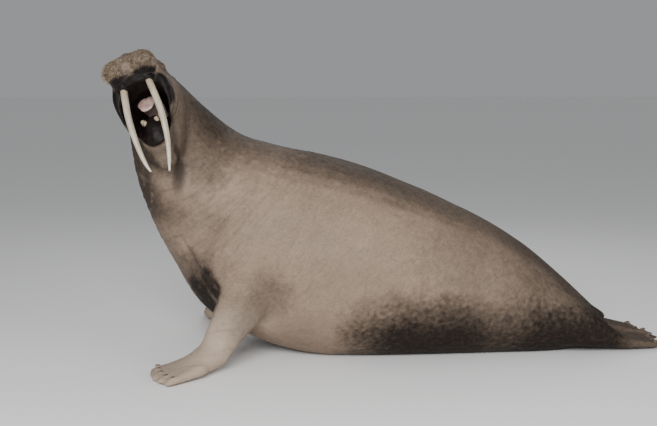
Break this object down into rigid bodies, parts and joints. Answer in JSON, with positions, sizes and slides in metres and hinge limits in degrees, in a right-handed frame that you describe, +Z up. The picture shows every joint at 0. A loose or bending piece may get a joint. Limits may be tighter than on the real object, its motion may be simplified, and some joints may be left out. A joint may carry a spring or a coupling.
{
  "type": "walrus",
  "caption": "Life-size walrus bull lying on its belly, chest raised on the fore flippers, head up and turned aside, mouth open, long tusks and bristly muzzle.",
  "frame": {"origin": "on the floor under the middle of the belly, in the plane of symmetry of the trunk", "axes": "+X along the spine towards the tail, +Y towards the animal's right, +Z up from the floor; the head is towards -X and faces -Y"},
  "size_m": [3.2391, 1.707, 1.7217],
  "materials": {
    "hide": "dull wrinkled hide with sparse flat hair, darker along the back",
    "whisker_pad": "dull pitted skin at the roots of the whiskers",
    "flipper_hide": "dull bare wrinkled skin",
    "tusk": "worn ivory with fine length-wise cracks",
    "eye": "wet and dark",
    "tongue": "moist flesh",
    "whisker": "translucent horn bristle",
    "claw": "worn horn"
  },
  "bodies": {
    "root": {"head": "hide", "neck": "hide", "chest": "hide", "torso": "hide", "rump": "hide", "tail": "hide", "lower_jaw": "hide", "muzzle_left": "whisker_pad", "muzzle_right": "whisker_pad", "foreflipper_left": "flipper_hide", "foreflipper_right": "flipper_hide", "hindflipper_left": "flipper_hide", "hindflipper_right": "flipper_hide", "tusk_left": "tusk", "tusk_right": "tusk", "eye_left": "eye", "eye_right": "eye", "tongue": "tongue"}
  },
  "joints": []
}
